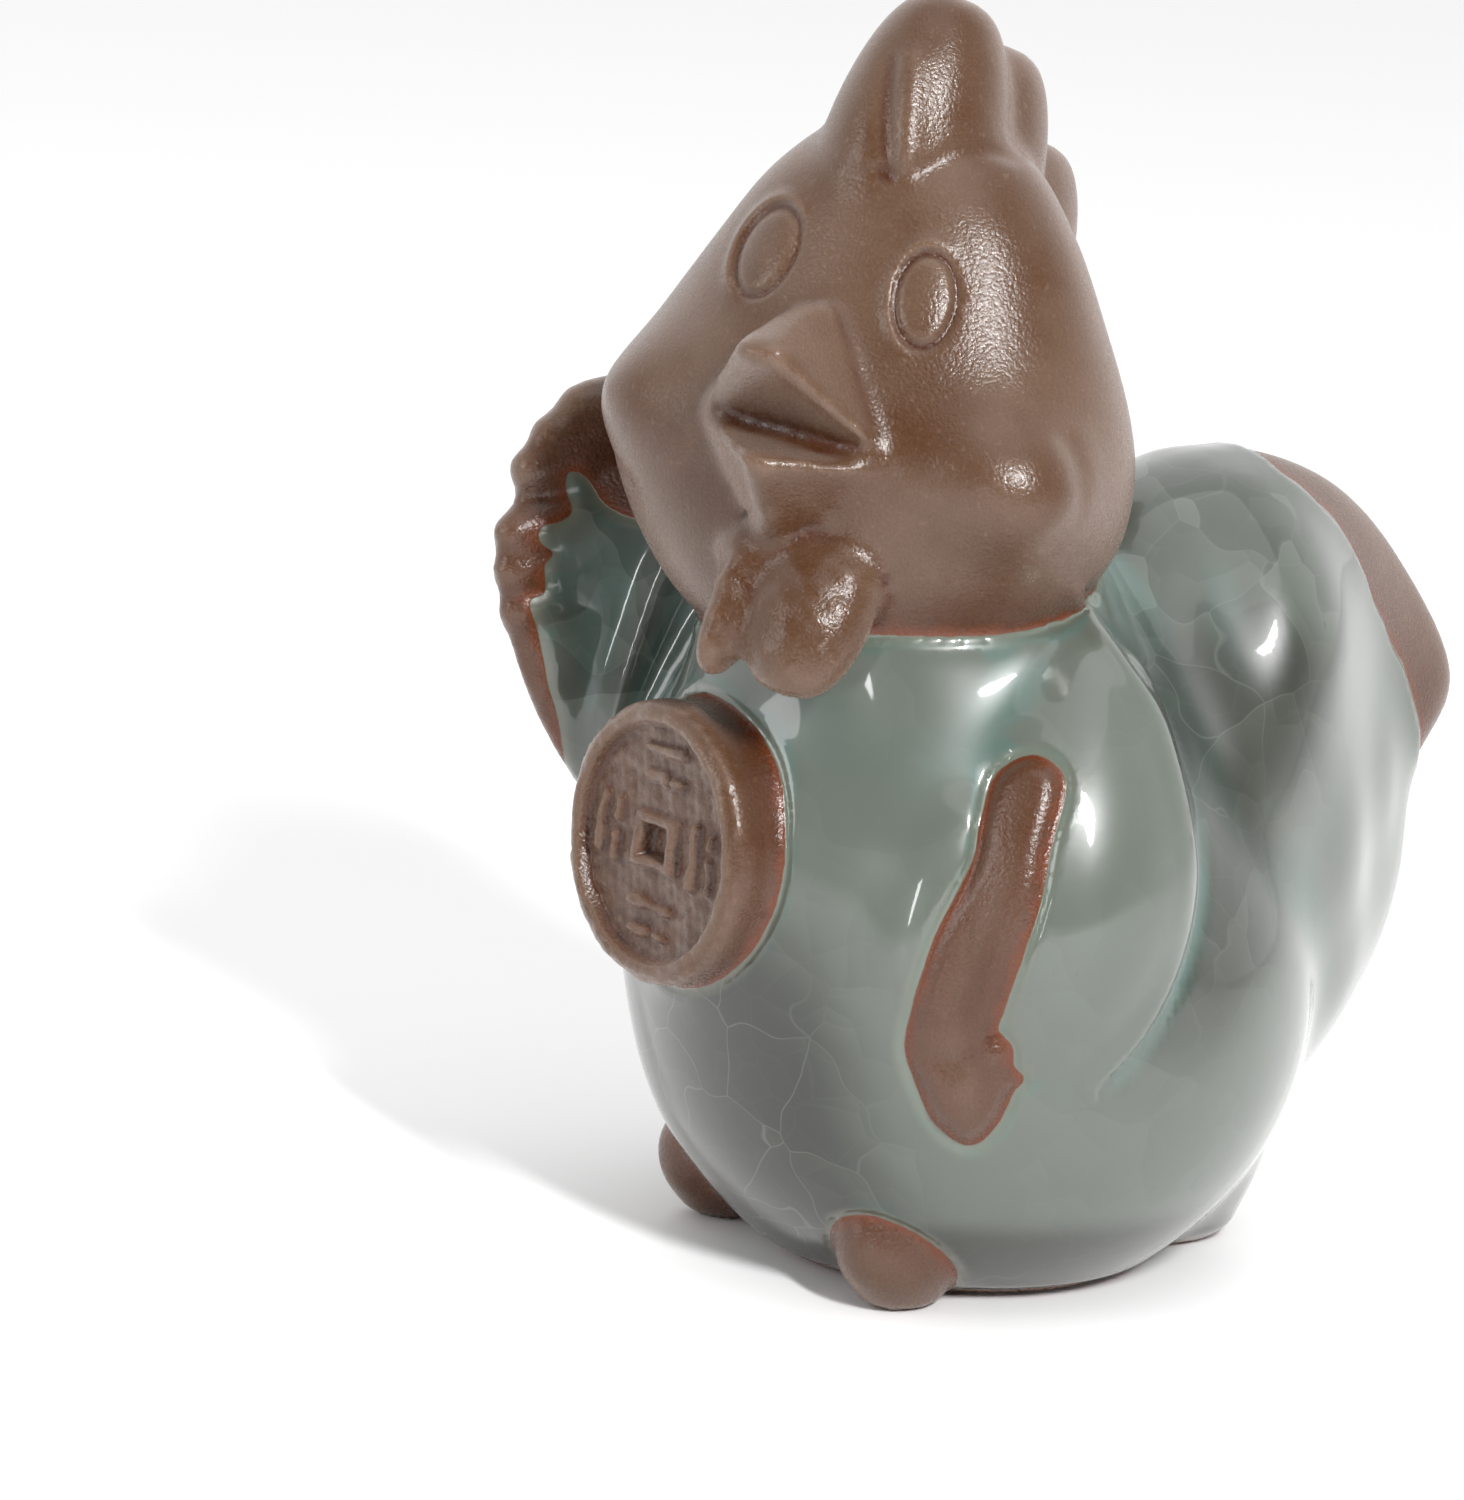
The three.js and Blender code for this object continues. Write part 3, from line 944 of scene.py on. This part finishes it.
def crackle_group():
    """Crazing in a thick glaze: plates of slightly different tone, each with painted shading from one side to the
    other, between fine lines.
    """
    made, tree, given, out = group(
        "crackle",
        [("Place", PLACE, None), ("Plates per metre", NUMBER, 150.0), ("Line width", NUMBER, 0.02),
         ("Bend", NUMBER, 0.0015)],
        ["Line", "Tone"],
    )
    plates = given["Plates per metre"]
    shift = tree.vector("SUBTRACT", tree.noise(given["Place"], 170.0, 1.0)["Color"], (0.5, 0.5, 0.5))
    warped = tree.vector("ADD", given["Place"], tree.vector("SCALE", shift, given["Bend"]))
    border = tree.cells(warped, plates, "DISTANCE_TO_EDGE")["Distance"]
    line = tree.maths("DIVIDE", border, given["Line width"], clamp=True)
    tree.feed(tree.maths("SUBTRACT", 1.0, line), out["Line"])
    cell = tree.cells(warped, plates)
    red = tree.add("ShaderNodeSeparateColor", {"Color": cell["Color"]}).outputs["Red"]
    along = tree.vector("DOT_PRODUCT", tree.vector("SUBTRACT", warped, cell["Position"]), PLATE_SLOPE)
    tree.feed(tree.maths("ADD", tree.times(red, 0.7), tree.times(along, plates)), out["Tone"])
    return made


def clay_group():
    """Fired dark clay: a leathery skin of tiny pits, with slow drifts of tone."""
    made, tree, given, out = group(
        "fired_clay",
        [("Place", PLACE, None), ("Pits per metre", NUMBER, 4600.0)],
        ["Skin", "Drift", "Speck"],
    )
    place = given["Place"]
    pits = tree.cells(place, given["Pits per metre"], "SMOOTH_F1")["Distance"]
    grain = tree.noise(place, 3600.0, 3.0, 0.62)["Fac"]
    tree.feed(tree.maths("ADD", tree.times(pits, 0.55), grain), out["Skin"])
    tree.feed(tree.noise(place, 95.0, 3.0, 0.55)["Fac"], out["Drift"])
    tree.feed(tree.slope(tree.noise(place, 2100.0, 2.0)["Fac"], 0.62, 0.72), out["Speck"])
    return made


def rim_group():
    """The line where the glaze ends, wandering a little, with the rust that the clay shows along it."""
    made, tree, given, out = group(
        "glaze_edge",
        [("Place", PLACE, None), ("Bare", NUMBER, 0.0), ("Wander", NUMBER, 0.25), ("Rust width", NUMBER, 0.85)],
        ["Glaze", "Rust", "Thin"],
    )
    waves = tree.noise(given["Place"], 520.0, 3.0, 0.6)["Fac"]
    wander = tree.times(tree.maths("SUBTRACT", waves, 0.5), given["Wander"])
    bare = tree.maths("ADD", given["Bare"], wander)
    width = tree.times(given["Rust width"], tree.slope(waves, 0.35, 0.65, 0.5, 1.4))
    tree.feed(tree.slope(bare, 0.06, -0.06), out["Glaze"])
    tree.feed(tree.maths("SUBTRACT", 1.0, tree.maths("DIVIDE", bare, width, clamp=True)), out["Rust"])
    tree.feed(tree.slope(bare, -1.1, -0.05), out["Thin"])
    return made


def ceramic(look):
    """One cast, half dipped in celadon glaze: smooth crackled glaze, and bare brown clay elsewhere."""
    material = bpy.data.materials.new("celadon_and_clay")
    material.use_nodes = True
    material.node_tree.nodes.clear()
    tree = Tree(material.node_tree)
    place = tree.add("ShaderNodeTexCoord").outputs["Object"]
    bare, hollow, pool, shade, crazed = [
        tree.add("ShaderNodeAttribute", attribute_name=name).outputs["Fac"]
        for name in ("bare", "hollow", "pool", "shade", "crazed")
    ]
    edge = tree.use(rim_group(), {"Place": place, "Bare": bare})
    skin = tree.use(clay_group(), {"Place": place})
    crazing = crackle_group()
    wide = tree.use(crazing, {"Place": place, "Plates per metre": 165.0, "Line width": 0.014, "Bend": 0.005})
    fine = tree.use(crazing, {"Place": place, "Plates per metre": 290.0, "Line width": 0.03, "Bend": 0.001})
    facing = tree.add("ShaderNodeLayerWeight", {"Blend": 0.5}).outputs["Facing"]

    clay = look.clay_warm
    for share, tint in (
        (tree.slope(skin["Drift"], 0.34, 0.68), look.clay_grey),
        # Grooves: darker clay with painted shade; the raised wing's hollow by the head: painted shade
        (tree.slope(hollow, 0.1, 1.3), look.clay_deep_shade),
        (tree.slope(hollow, -0.35, -1.4, 0.0, 0.45), look.clay_worn),
        (tree.times(skin["Speck"], 0.35), look.clay_worn),
        # Painted sheen: the clay turns greyer where it faces away from view
        (tree.slope(facing, 0.25, 0.9, 0.0, 0.62), look.clay_sheen),
        (tree.slope(bare, 0.5, 4.2, 0.6, 0.0), look.clay_burnt),
        (tree.times(edge["Rust"], 0.75), look.rust),
    ):
        clay = tree.blend(share, clay, tint)

    glaze = tree.blend(tree.slope(pool, -0.12, 0.26, 0.0, 0.75), look.glaze_thin, look.glaze_pool)
    # Painted shade on the glaze, where the shade mask is set
    glaze = tree.blend(tree.slope(shade, 0.0, 1.0), glaze, look.glaze_painted_shade)
    # Crackle plates dim the glaze by their random tone and their painted shading, most where it is most crazed
    tone = tree.times(tree.slope(wide["Tone"], 0.0, 1.0, -0.5, 0.5, soft=False), 0.22)
    tone = tree.maths("ADD", tone, tree.slope(fine["Tone"], 0.0, 1.0, -0.05, 0.05, soft=False))
    dark = tree.times(tree.slope(tone, -0.11, 0.11, 1.0, 0.0), tree.slope(crazed, 0.0, 1.0, 0.12, 1.0))
    glaze = tree.blend(dark, glaze, look.glaze_plate, kind="MULTIPLY")
    patch = tree.slope(tree.noise(place, 70.0, 1.0)["Fac"], 0.32, 0.55, 0.35, 1.0)
    patch = tree.times(patch, tree.slope(crazed, 0.0, 1.0, 0.03, 0.38))
    lines = tree.maths("MAXIMUM", tree.times(wide["Line"], patch), tree.times(fine["Line"], 0.04))
    glaze = tree.blend(lines, glaze, look.crackle_line)
    glaze = tree.blend(tree.times(edge["Thin"], 0.55), glaze, look.glaze_edge)

    colour = tree.blend(edge["Glaze"], clay, glaze)
    pinholes = tree.slope(tree.cells(place, 420.0)["Distance"], 0.0, 0.07, 1.0, 0.0)
    colour = tree.blend(tree.times(pinholes, 0.25), colour, look.clay_deep_shade)
    rough = tree.slope(skin["Skin"], 0.4, 1.1, 0.2, 0.36)
    rough = tree.add("ShaderNodeMix", {"Factor": edge["Glaze"], 2: rough, 3: 0.34}).outputs[0]
    height = tree.times(skin["Skin"], tree.maths("SUBTRACT", 1.0, edge["Glaze"]))
    bump = tree.add("ShaderNodeBump", {"Height": height, "Strength": 0.5, "Distance": 0.00009})
    shader = tree.add("ShaderNodeBsdfPrincipled", {
        "Base Color": colour,
        "Roughness": rough,
        "Normal": bump.outputs["Normal"],
        "Coat Weight": edge["Glaze"],
        "Coat Roughness": 0.05,
        "Coat IOR": 1.46,
        "IOR": 1.5,
    })
    tree.feed(shader.outputs["BSDF"], tree.add("ShaderNodeOutputMaterial").inputs["Surface"])
    return material


def give(piece, name, values):
    """Stores a value of each point for the material to read."""
    attribute = piece.data.attributes.new(name, "FLOAT", "POINT")
    attribute.data.foreach_set("value", np.asarray(values, np.float32))


def srgb(red, green, blue):
    """A colour as it reads on a screen, from 0 to 255, made linear."""
    parts = [c / 255 for c in (red, green, blue)]
    return [c / 12.92 if c <= 0.04045 else ((c + 0.055) / 1.055) ** 2.4 for c in parts] + [1.0]


# Sizes and looks that a user may change


def length(name, description, mm):
    return bpy.props.FloatProperty(name=name, description=description, default=mm * MM, unit="LENGTH", precision=4)


def amount(name, description, value, unit="POWER"):
    return bpy.props.FloatProperty(name=name, description=description, default=value, min=0, unit=unit)


def colour(name, description, red, green, blue):
    return bpy.props.FloatVectorProperty(
        name=name, description=description, default=srgb(red, green, blue), size=4, subtype="COLOR", min=0, max=1,
    )


class TeaPetSizes(bpy.types.PropertyGroup):
    body_radius: length("Body radius", "Widest radius of the round body", 24)
    body_middle: length("Body middle", "Height of the body's widest part", 20.4)
    neck_radius: length("Neck radius", "Radius where the body meets the head", 13.2)
    neck_height: length("Neck height", "Height of the neck", 48.2)
    neck_lean: length("Neck lean", "How far the neck leans forward", 9)
    head_half_width: length("Head half width", "From the middle of the head to a cheek", 18.8)
    head_half_height: length("Head half height", "From the middle of the head to the crown", 19.6)
    head_front: length("Head front", "From the middle of the head to the face", 14)
    head_back: length("Head back", "From the middle of the head to its back", 15.5)
    comb_thickness: length("Comb thickness", "Thickness of the comb from side to side", 10.2)
    comb_cleft: length("Comb cleft", "Depth of the cleft down the comb's front edge", 0.42)
    coin_radius: length("Coin radius", "Radius of the coin on the belly", 9.7)
    coin_thickness: length("Coin thickness", "Thickness of the coin, part of it in the belly", 6.2)
    coin_field: length("Coin field", "How deep the coin's field lies below its rim", 0.9)
    glaze_thickness: length("Glaze thickness", "How far the glaze stands proud of the clay", 0.3)


class TeaPetLook(bpy.types.PropertyGroup):
    clay_warm: colour("Warm clay", "Bare clay where it fired warm brown", 74, 46, 25)
    clay_grey: colour("Grey clay", "Bare clay where it fired greyer", 90, 67, 51)
    clay_burnt: colour("Burnt clay", "Bare clay within a few millimetres of the glaze", 76, 41, 25)
    # Darker clay with painted shade in grooves and pinholes, and painted shade in the raised wing's hollow by the
    # head
    clay_deep_shade: colour("Deep clay", "Bare clay in grooves", 66, 34, 16)
    clay_worn: colour("Worn clay", "Bare clay on edges and specks", 112, 89, 73)
    # Painted sheen: the clay turns greyer where it faces away from view
    clay_sheen: colour("Clay sheen", "Dry greyish sheen of the clay where it turns away", 140, 121, 111)
    rust: colour("Rust", "Iron red along the edge of the glaze", 106, 50, 20)
    glaze_thin: colour("Glaze", "Celadon glaze at its usual thickness", 88, 95, 87)
    glaze_pool: colour("Pooled glaze", "Celadon glaze where it has run together", 77, 101, 94)
    # Painted shade on the glaze: low on the front, under the head, behind the folded wing, on the tail's side and
    # near the ground
    glaze_painted_shade: colour("Low glaze", "Glaze near the foot, where it is darker", 34, 36, 23)
    glaze_plate: colour("Dark plate", "How much a darker plate of the crackle dims the glaze", 166, 168, 162)
    glaze_edge: colour("Glaze edge", "Thin glaze at its edge", 106, 105, 90)
    crackle_line: colour("Crackle line", "Pale lines of the crackle", 106, 114, 105)


class TeaPetStageLook(bpy.types.PropertyGroup):
    floor: colour("Floor", "Pale floor", 252, 252, 252)
    room: colour("Room", "The dimmer side of the room, where the picture is taken from", 96, 96, 96)
    surround: amount("Surround", "Brightness of the room around", 1.08, "NONE")
    key: amount("Key light", "Power of the soft box on the right", 3.8)
    side: amount("Side light", "Power of the soft box on the left", 0.9)
    strip: amount("Front strip", "Power of the slim light low in front", 0.24)
    top: amount("Top light", "Power of the large soft box above", 8.0)


# The rooster: forms, one skin, relief and finish


def cast(sizes):
    """Joins all forms into one skin; returns it with the distances to what is glazed, bare, or the raised wing."""
    glazed = [body_form(sizes), folded_wing_form(sizes), tail_form(), tail_root_form(), raised_wing_form()]
    wing = [glazed[-1], *wing_tip_forms()]
    head = [skull_form(sizes), *comb_forms(sizes), *beak_forms(), *wattle_forms()]
    bare = [*head, coin_form(sizes), *foot_forms()]
    nearest = {"glazed": nearest_to(glazed), "bare": nearest_to(bare), "wing": nearest_to(wing)}
    return fuse([*glazed, *wing[1:], *bare], "glazed_rooster"), nearest


def smooth_skin(piece, nearest):
    """Evens out the skin: a little all over, more under the glaze, most in the joints that glaze fills."""
    edges = edges_of(piece)
    points = spread(points_of(piece), edges, SKIN_ROUNDS)
    move_points(piece, points)
    under_glaze = ease(-bare_clay(points, nearest), 0.3, 1.6)
    joint = spread(ease(hollow_of(piece, 4), 0.02, 0.12), edges, JOINT_REACH) * under_glaze
    points = spread(points, edges, JOINT_ROUNDS, 0.5 * np.clip(1.4 * joint, 0, 1))
    points = spread(points, edges, GLAZE_ROUNDS, 0.5 * under_glaze)
    points[:, 2] = np.where(points[:, 2] < FLAT_BELOW, 0, points[:, 2])
    move_points(piece, points)
    return points


def on_coin(points, radius, low=1.5):
    """Which points lie on the coin's face, within a radius."""
    a, b, h = to_coin(points).T
    return (np.hypot(a, b) < radius) & (h > low) & (h < 4)


def refine(piece, points, nearest):
    """Makes the skin finer along the glaze's edge, at the eyes and on the coin, where it's done twice."""
    fine = (np.abs(bare_clay(points, nearest)) < 1.0) & (points[:, 2] > 3)
    for ring, _, _ in eye_places(in_picture(points), to_head(points)):
        fine |= ring < 1.35
    densify(piece, fine | on_coin(points, COIN_FINE))
    densify(piece, on_coin(points_of(piece), COIN_FINEST))


def raise_relief(piece, nearest, sizes):
    """Adds the glaze's thickness and all relief; returns how far inside the bare clay each point is."""
    points, edges = points_of(piece), edges_of(piece)
    coin = on_coin(points, COIN_CLEAR, 1)
    points = spread(points, edges, 2, 0.4 * (np.abs(bare_clay(points, nearest)) < 1.1))
    move_points(piece, points)
    border = bare_clay(points, nearest)
    x, _, z = points.T
    local, seen = to_head(points), in_picture(points)
    height = glaze_step(spread(border, edges, 2), sizes.glaze_thickness / MM) * ease(z, 0.2, 1.5)
    height *= mix(1, 0.35, ease(-x, 12, 15) * ease(z, 26, 32))
    on_head = ease(border, 0.5, 1.5) * (local[:, 2] > -24) * (local[:, 1] < 30)
    height += (eye_relief(seen, local) + face_relief(seen, local, sizes)) * on_head
    height += tail_relief(points) + body_relief(points, seen) + wattle_relief(points, local) * on_head
    height *= 1 - coin * (border > 0)
    move_points(piece, points + normals_of(piece) * height[:, None])
    tail = ease(points_of(piece)[:, 1], 15, 21) * ease(-border, 0.9, 2.2)
    move_points(piece, spread(points_of(piece), edges, TAIL_ROUNDS, 0.5 * tail))
    coin_face(piece, sizes)
    return border


def surface_values(piece, border):
    """What the material reads: bare clay, hollows with painted shade in them and in the raised wing by the head,
    pooled glaze, painted shade on the glaze, and where it's most crazed.
    """
    points = points_of(piece)
    x, y, z = points.T
    seen = in_picture(points)
    # Painted shade in the hollow of the raised wing by the head; it is added to the hollows and darkens the clay
    # there
    in_shade = ease(inside(seen, smooth_line(WING_SHADE, closed=True, count=80)), -8, 16) * (x < -8)
    cleft = near_line(seen, COMB_CLEFT, 13) * (to_head(points)[:, 2] > 12)
    # Painted shade on the glaze: low on the front, under the head, behind the folded wing's rear edge, on the tail's
    # side and near the ground; the front and head parts also set where the crackle shows most
    low = ease(36 - z, 0, 19) * ease(-y, -10, 2) * ease(14 - x, -6, 6)
    rear = signed_line(in_mm(seen), in_mm(WING_EDGE))
    groove = ease(rear, 0, 1.2) * ease(-rear, -9, -3.5) * (x > 6) * ease(z, 12, 26)
    near_head = 0.6 * np.maximum(ease(-y, -25, -16) * (y > 0) * ease(z, 28, 38), groove)
    on_tail = 0.2 * ease(y, 12, 20) * ease(x, 0, 5) * ease(z, 8, 20)
    dark = np.maximum(np.maximum(low, near_head * ease(-z, -50, -43)), on_tail) * (border < 0)
    in_cup = 0.6 * ease(-x, 8, 14) * ease(z, 28, 34)
    return {
        "bare": border,
        "hollow": hollow_of(piece, 3) + 1.1 * in_shade + 0.5 * cleft,
        "pool": hollow_of(piece, 24) * 3,
        "shade": np.maximum(dark, ease(9 - z, 0, 4)),
        "crazed": np.maximum(np.maximum(low, near_head), in_cup),
    }


# Operators


class TEAPET_OT_rooster(bpy.types.Operator):
    """Models the rooster as one cast, glazed and bare, and gives it its finish"""
    bl_idname = "teapet.rooster"
    bl_label = "Rooster"

    def execute(self, context):
        sizes, look = context.scene.tea_pet_sizes, context.scene.tea_pet_look
        piece, nearest = cast(sizes)
        refine(piece, smooth_skin(piece, nearest), nearest)
        border = raise_relief(piece, nearest, sizes)
        select_only(piece)
        bpy.ops.object.shade_smooth()
        for name, values in surface_values(piece, border).items():
            give(piece, name, values)
        piece.data.materials.clear()
        piece.data.materials.append(ceramic(look))
        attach(piece, "root")
        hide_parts("rooster")
        return {"FINISHED"}


# What the lights point at, in metres
LIGHT_AIM = (0, 0, 0.04)


def studio_light(name, power, azimuth, elevation, distance, width, height):
    """A soft box at angles round and above the figure, facing it."""
    a, e = math.radians(azimuth), math.radians(elevation)
    way = Vector((math.sin(a) * math.cos(e), -math.cos(a) * math.cos(e), math.sin(e)))
    bpy.ops.object.light_add(type="AREA", location=Vector(LIGHT_AIM) + way * distance)
    lamp = bpy.context.object
    lamp.name = name
    lamp.rotation_mode = "QUATERNION"
    lamp.rotation_quaternion = way.to_track_quat("Z", "Y")
    lamp.data.shape = "ELLIPSE"
    lamp.data.size, lamp.data.size_y = width, height
    lamp.data.energy = power


class TEAPET_OT_stage(bpy.types.Operator):
    """Lays the pale floor, hangs the soft boxes and places the camera"""
    bl_idname = "teapet.stage"
    bl_label = "Stage"

    def execute(self, context):
        look = context.scene.tea_pet_stage
        floor = basic("floor", bpy.ops.mesh.primitive_circle_add, vertices=96, radius=3, fill_type="NGON")
        paint = bpy.data.materials.new("pale_floor")
        paint.use_nodes = True
        shader = paint.node_tree.nodes["Principled BSDF"]
        shader.inputs["Base Color"].default_value = look.floor
        shader.inputs["Roughness"].default_value = 0.6
        floor.data.materials.append(paint)

        # Name, power, degrees round from the belly's side and up, metres away, width and height
        studio_light("key_box", look.key, 80, 35, 0.6, 0.055, 0.17)
        studio_light("side_box", look.side, -12, 18, 0.7, 0.24, 0.34)
        studio_light("front_strip", look.strip, 32, 7, 0.6, 0.04, 0.14)
        studio_light("top_box", look.top, 60, 76, 1.8, 1.8, 1.8)

        # The room is dimmer on the camera's side
        world = bpy.data.worlds.new("room")
        world.use_nodes = True
        sky = Tree(world.node_tree)
        background = world.node_tree.nodes["Background"]
        facing = sky.vector("DOT_PRODUCT", sky.add("ShaderNodeTexCoord").outputs["Generated"], CAMERA_BACK)
        sky.feed(sky.blend(sky.slope(facing, -0.25, 0.9), (1, 1, 1, 1), look.room), background.inputs["Color"])
        background.inputs["Strength"].default_value = look.surround
        context.scene.world = world
        context.scene.view_settings.view_transform = "Standard"

        camera = bpy.data.objects.new("camera", bpy.data.cameras.new("camera"))
        context.collection.objects.link(camera)
        axes = Matrix((CAMERA_RIGHT, CAMERA_UP, CAMERA_BACK)).transposed()
        camera.matrix_world = Matrix.Translation(CAMERA_PLACE) @ axes.to_quaternion().to_matrix().to_4x4()
        camera.data.sensor_fit = "HORIZONTAL"
        camera.data.sensor_width = SENSOR_WIDTH
        camera.data.lens = CAMERA_LENS
        camera.data.clip_start, camera.data.clip_end = 0.01, 20
        context.scene.camera = camera
        return {"FINISHED"}


class TEAPET_PT_sidebar(bpy.types.Panel):
    """Lists the tea pet's pieces and its stage"""
    bl_idname = "TEAPET_PT_sidebar"
    bl_label = "Tea pet"
    bl_space_type = "VIEW_3D"
    bl_region_type = "UI"
    bl_category = "Tea pet"

    def draw(self, context):
        for operator in (TEAPET_OT_rooster, TEAPET_OT_stage):
            self.layout.operator(operator.bl_idname)
        for owner in (context.scene.tea_pet_sizes, context.scene.tea_pet_look, context.scene.tea_pet_stage):
            box = self.layout.box()
            for name in owner.__annotations__:
                box.prop(owner, name)


CLASSES = (TeaPetSizes, TeaPetLook, TeaPetStageLook, TEAPET_OT_rooster, TEAPET_OT_stage, TEAPET_PT_sidebar)


def register():
    for made in CLASSES:
        bpy.utils.register_class(made)
    bpy.types.Scene.tea_pet_sizes = bpy.props.PointerProperty(type=TeaPetSizes)
    bpy.types.Scene.tea_pet_look = bpy.props.PointerProperty(type=TeaPetLook)
    bpy.types.Scene.tea_pet_stage = bpy.props.PointerProperty(type=TeaPetStageLook)


def unregister():
    del bpy.types.Scene.tea_pet_sizes, bpy.types.Scene.tea_pet_look, bpy.types.Scene.tea_pet_stage
    for made in reversed(CLASSES):
        bpy.utils.unregister_class(made)


def main():
    register()
    bpy.ops.teapet.rooster()
    bpy.ops.teapet.stage()


if __name__ == "__main__":
    main()
